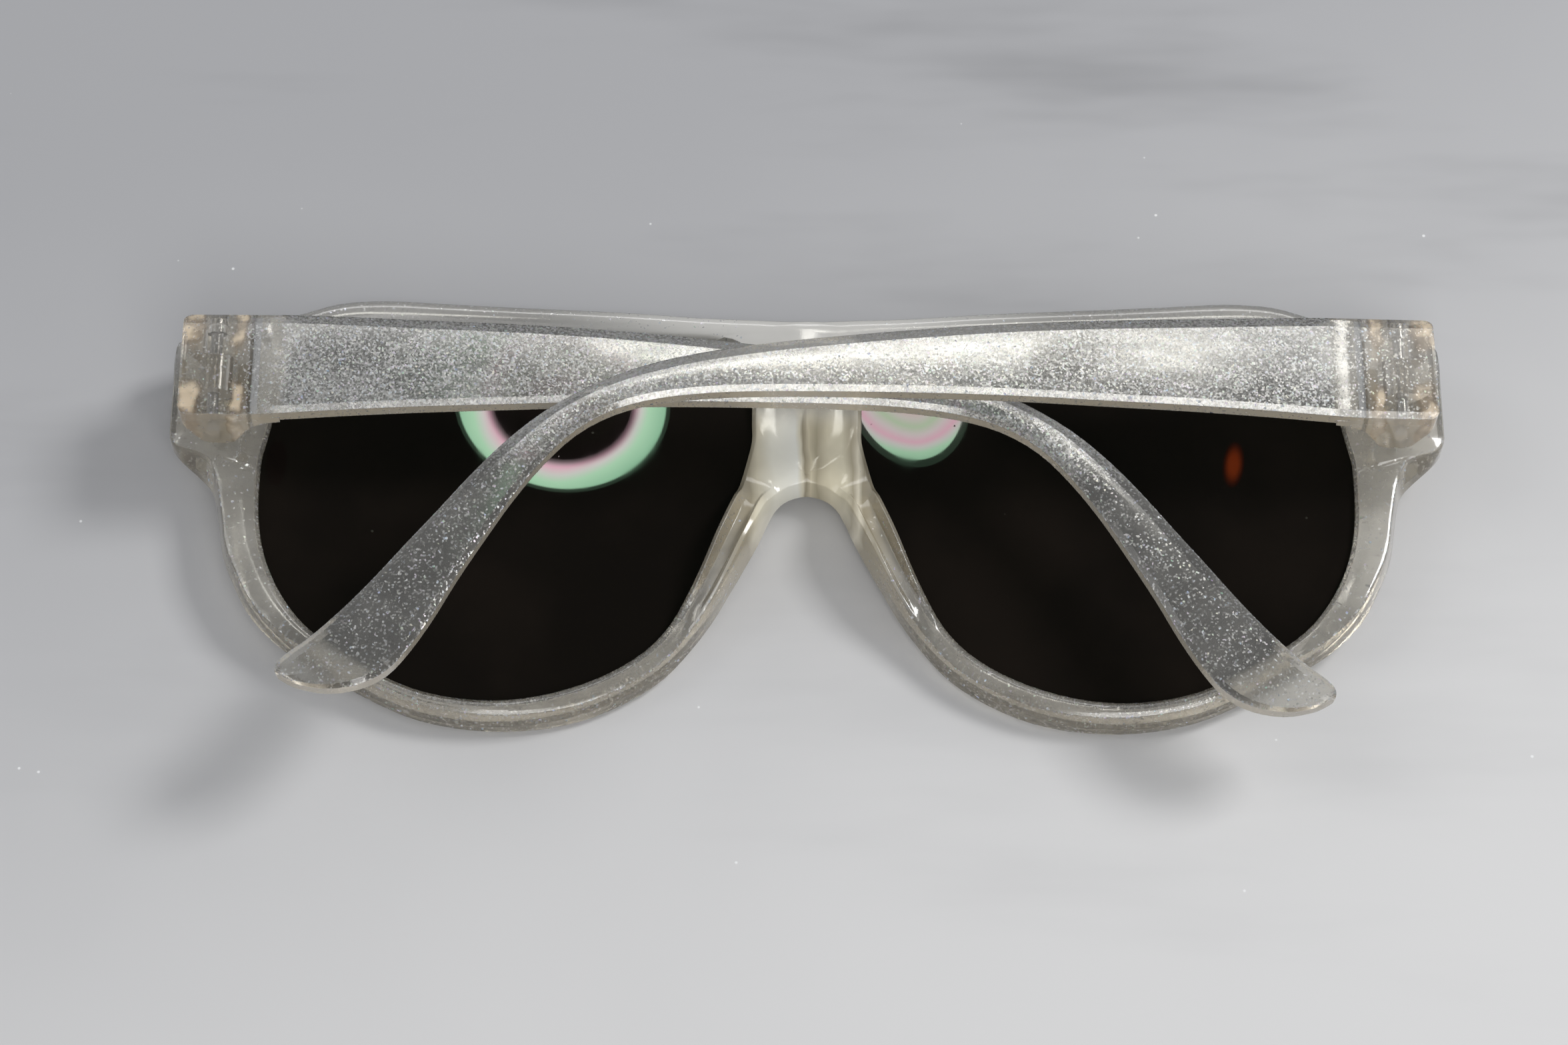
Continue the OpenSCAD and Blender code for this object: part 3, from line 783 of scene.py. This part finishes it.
def make_light():
    world = bpy.data.worlds.new("world")
    SCENE.world = world
    world.use_nodes = True
    sky = world.node_tree.nodes["Background"]
    sky.inputs["Color"].default_value = SKY_COLOUR
    sky.inputs["Strength"].default_value = SKY_STRENGTH

    lamp("front", at=(0.15, -0.65, 0.75), wide=0.5, power=2.6)
    lamp("right", at=(0.65, 0.25, 0.80), wide=0.3, power=4.5)
    lamp("left", at=(-0.75, 0.2, 0.9), wide=0.5, power=0.9)
    lamp("sky", at=(0.13, 0.74, 0.95), aim=BLADE_AIM, wide=0.85, tall=0.30, power=1.25, reaches=TEMPLES)
    lamp("window", at=(0.09, 0.636, 1.018), aim=BLADE_AIM, wide=0.28, tall=0.07, power=0.45,
         colour=WINDOW_COLOUR, reaches=FRONT + TEMPLES)
    lamp("rim_left", at=(-0.90, -0.10, 0.52), aim=LEFT_END, wide=0.16, power=0.9, reaches=FRONT)
    lamp("rim_back", at=(0.05, 0.85, 0.69), wide=0.9, tall=0.14, power=1.3, reaches=FRONT)

    glint("glint_left", at=(-0.0538, 0.2867, 0.4793), aim=RING_AT,
          wide=0.0266, tall=0.0221, strength=130.0, halo=0.97, hole=0.64)
    glint("glint_right", at=(0.0937, 0.2890, 0.4726), aim=DISC_AT,
          wide=0.0148, tall=0.0185, strength=105.0, halo=0.91)
    glint("glint_warm", at=(0.0155, 0.2703, 0.4840), aim=(0.0496, 0.0078, 0.0041),
          wide=0.0026, tall=0.0055, strength=50.0, halo=0.98, soft=0.7, colour=WARM_COLOUR,
          reaches=LENSES[1:])

    # the temples would cover the glints' way to the lenses
    for name in TEMPLES:
        NODES[name].visible_glossy = False


# softening: how near points are joined, how wide edges are rounded, and from what angle in degrees
WELD = 0.000002
EDGE_WIDTH = 0.00012
SCREW_EDGE_WIDTH = 0.00004
EDGE_ANGLE = 33
TEMPLE_EDGE_ANGLE = 14
EDGE_SEGMENTS = 2


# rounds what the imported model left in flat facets, and breaks its sharp edges
def soften(obj, width, angle):
    mesh = obj.data
    if "custom_normal" in mesh.attributes:
        mesh.attributes.remove(mesh.attributes["custom_normal"])
    for polygon in mesh.polygons:
        polygon.use_smooth = True
    for edge in mesh.edges:
        edge.use_edge_sharp = False
    weld = obj.modifiers.new("weld", "WELD")
    weld.merge_threshold = WELD
    bevel = obj.modifiers.new("edge", "BEVEL")
    bevel.limit_method = "ANGLE"
    bevel.angle_limit = math.radians(angle)
    bevel.width = width
    bevel.segments = EDGE_SEGMENTS
    bevel.harden_normals = True


def dress(names, look, width=EDGE_WIDTH, angle=EDGE_ANGLE):
    for name in names:
        obj = NODES[name]
        obj.data.materials.clear()
        obj.data.materials.append(look)
        soften(obj, width, angle)


make_camera()
make_floor()
make_light()
dress(FRONT, frame_plastic("frame_plastic_look"))
dress(TEMPLES, temple_plastic("temple_plastic_look"), angle=TEMPLE_EDGE_ANGLE)
dress(LENSES, lens_tint("lens_tint_look"))
dress(SCREWS, screw_steel("screw_steel_look"), width=SCREW_EDGE_WIDTH)

SCENE.view_settings.view_transform = "Standard"
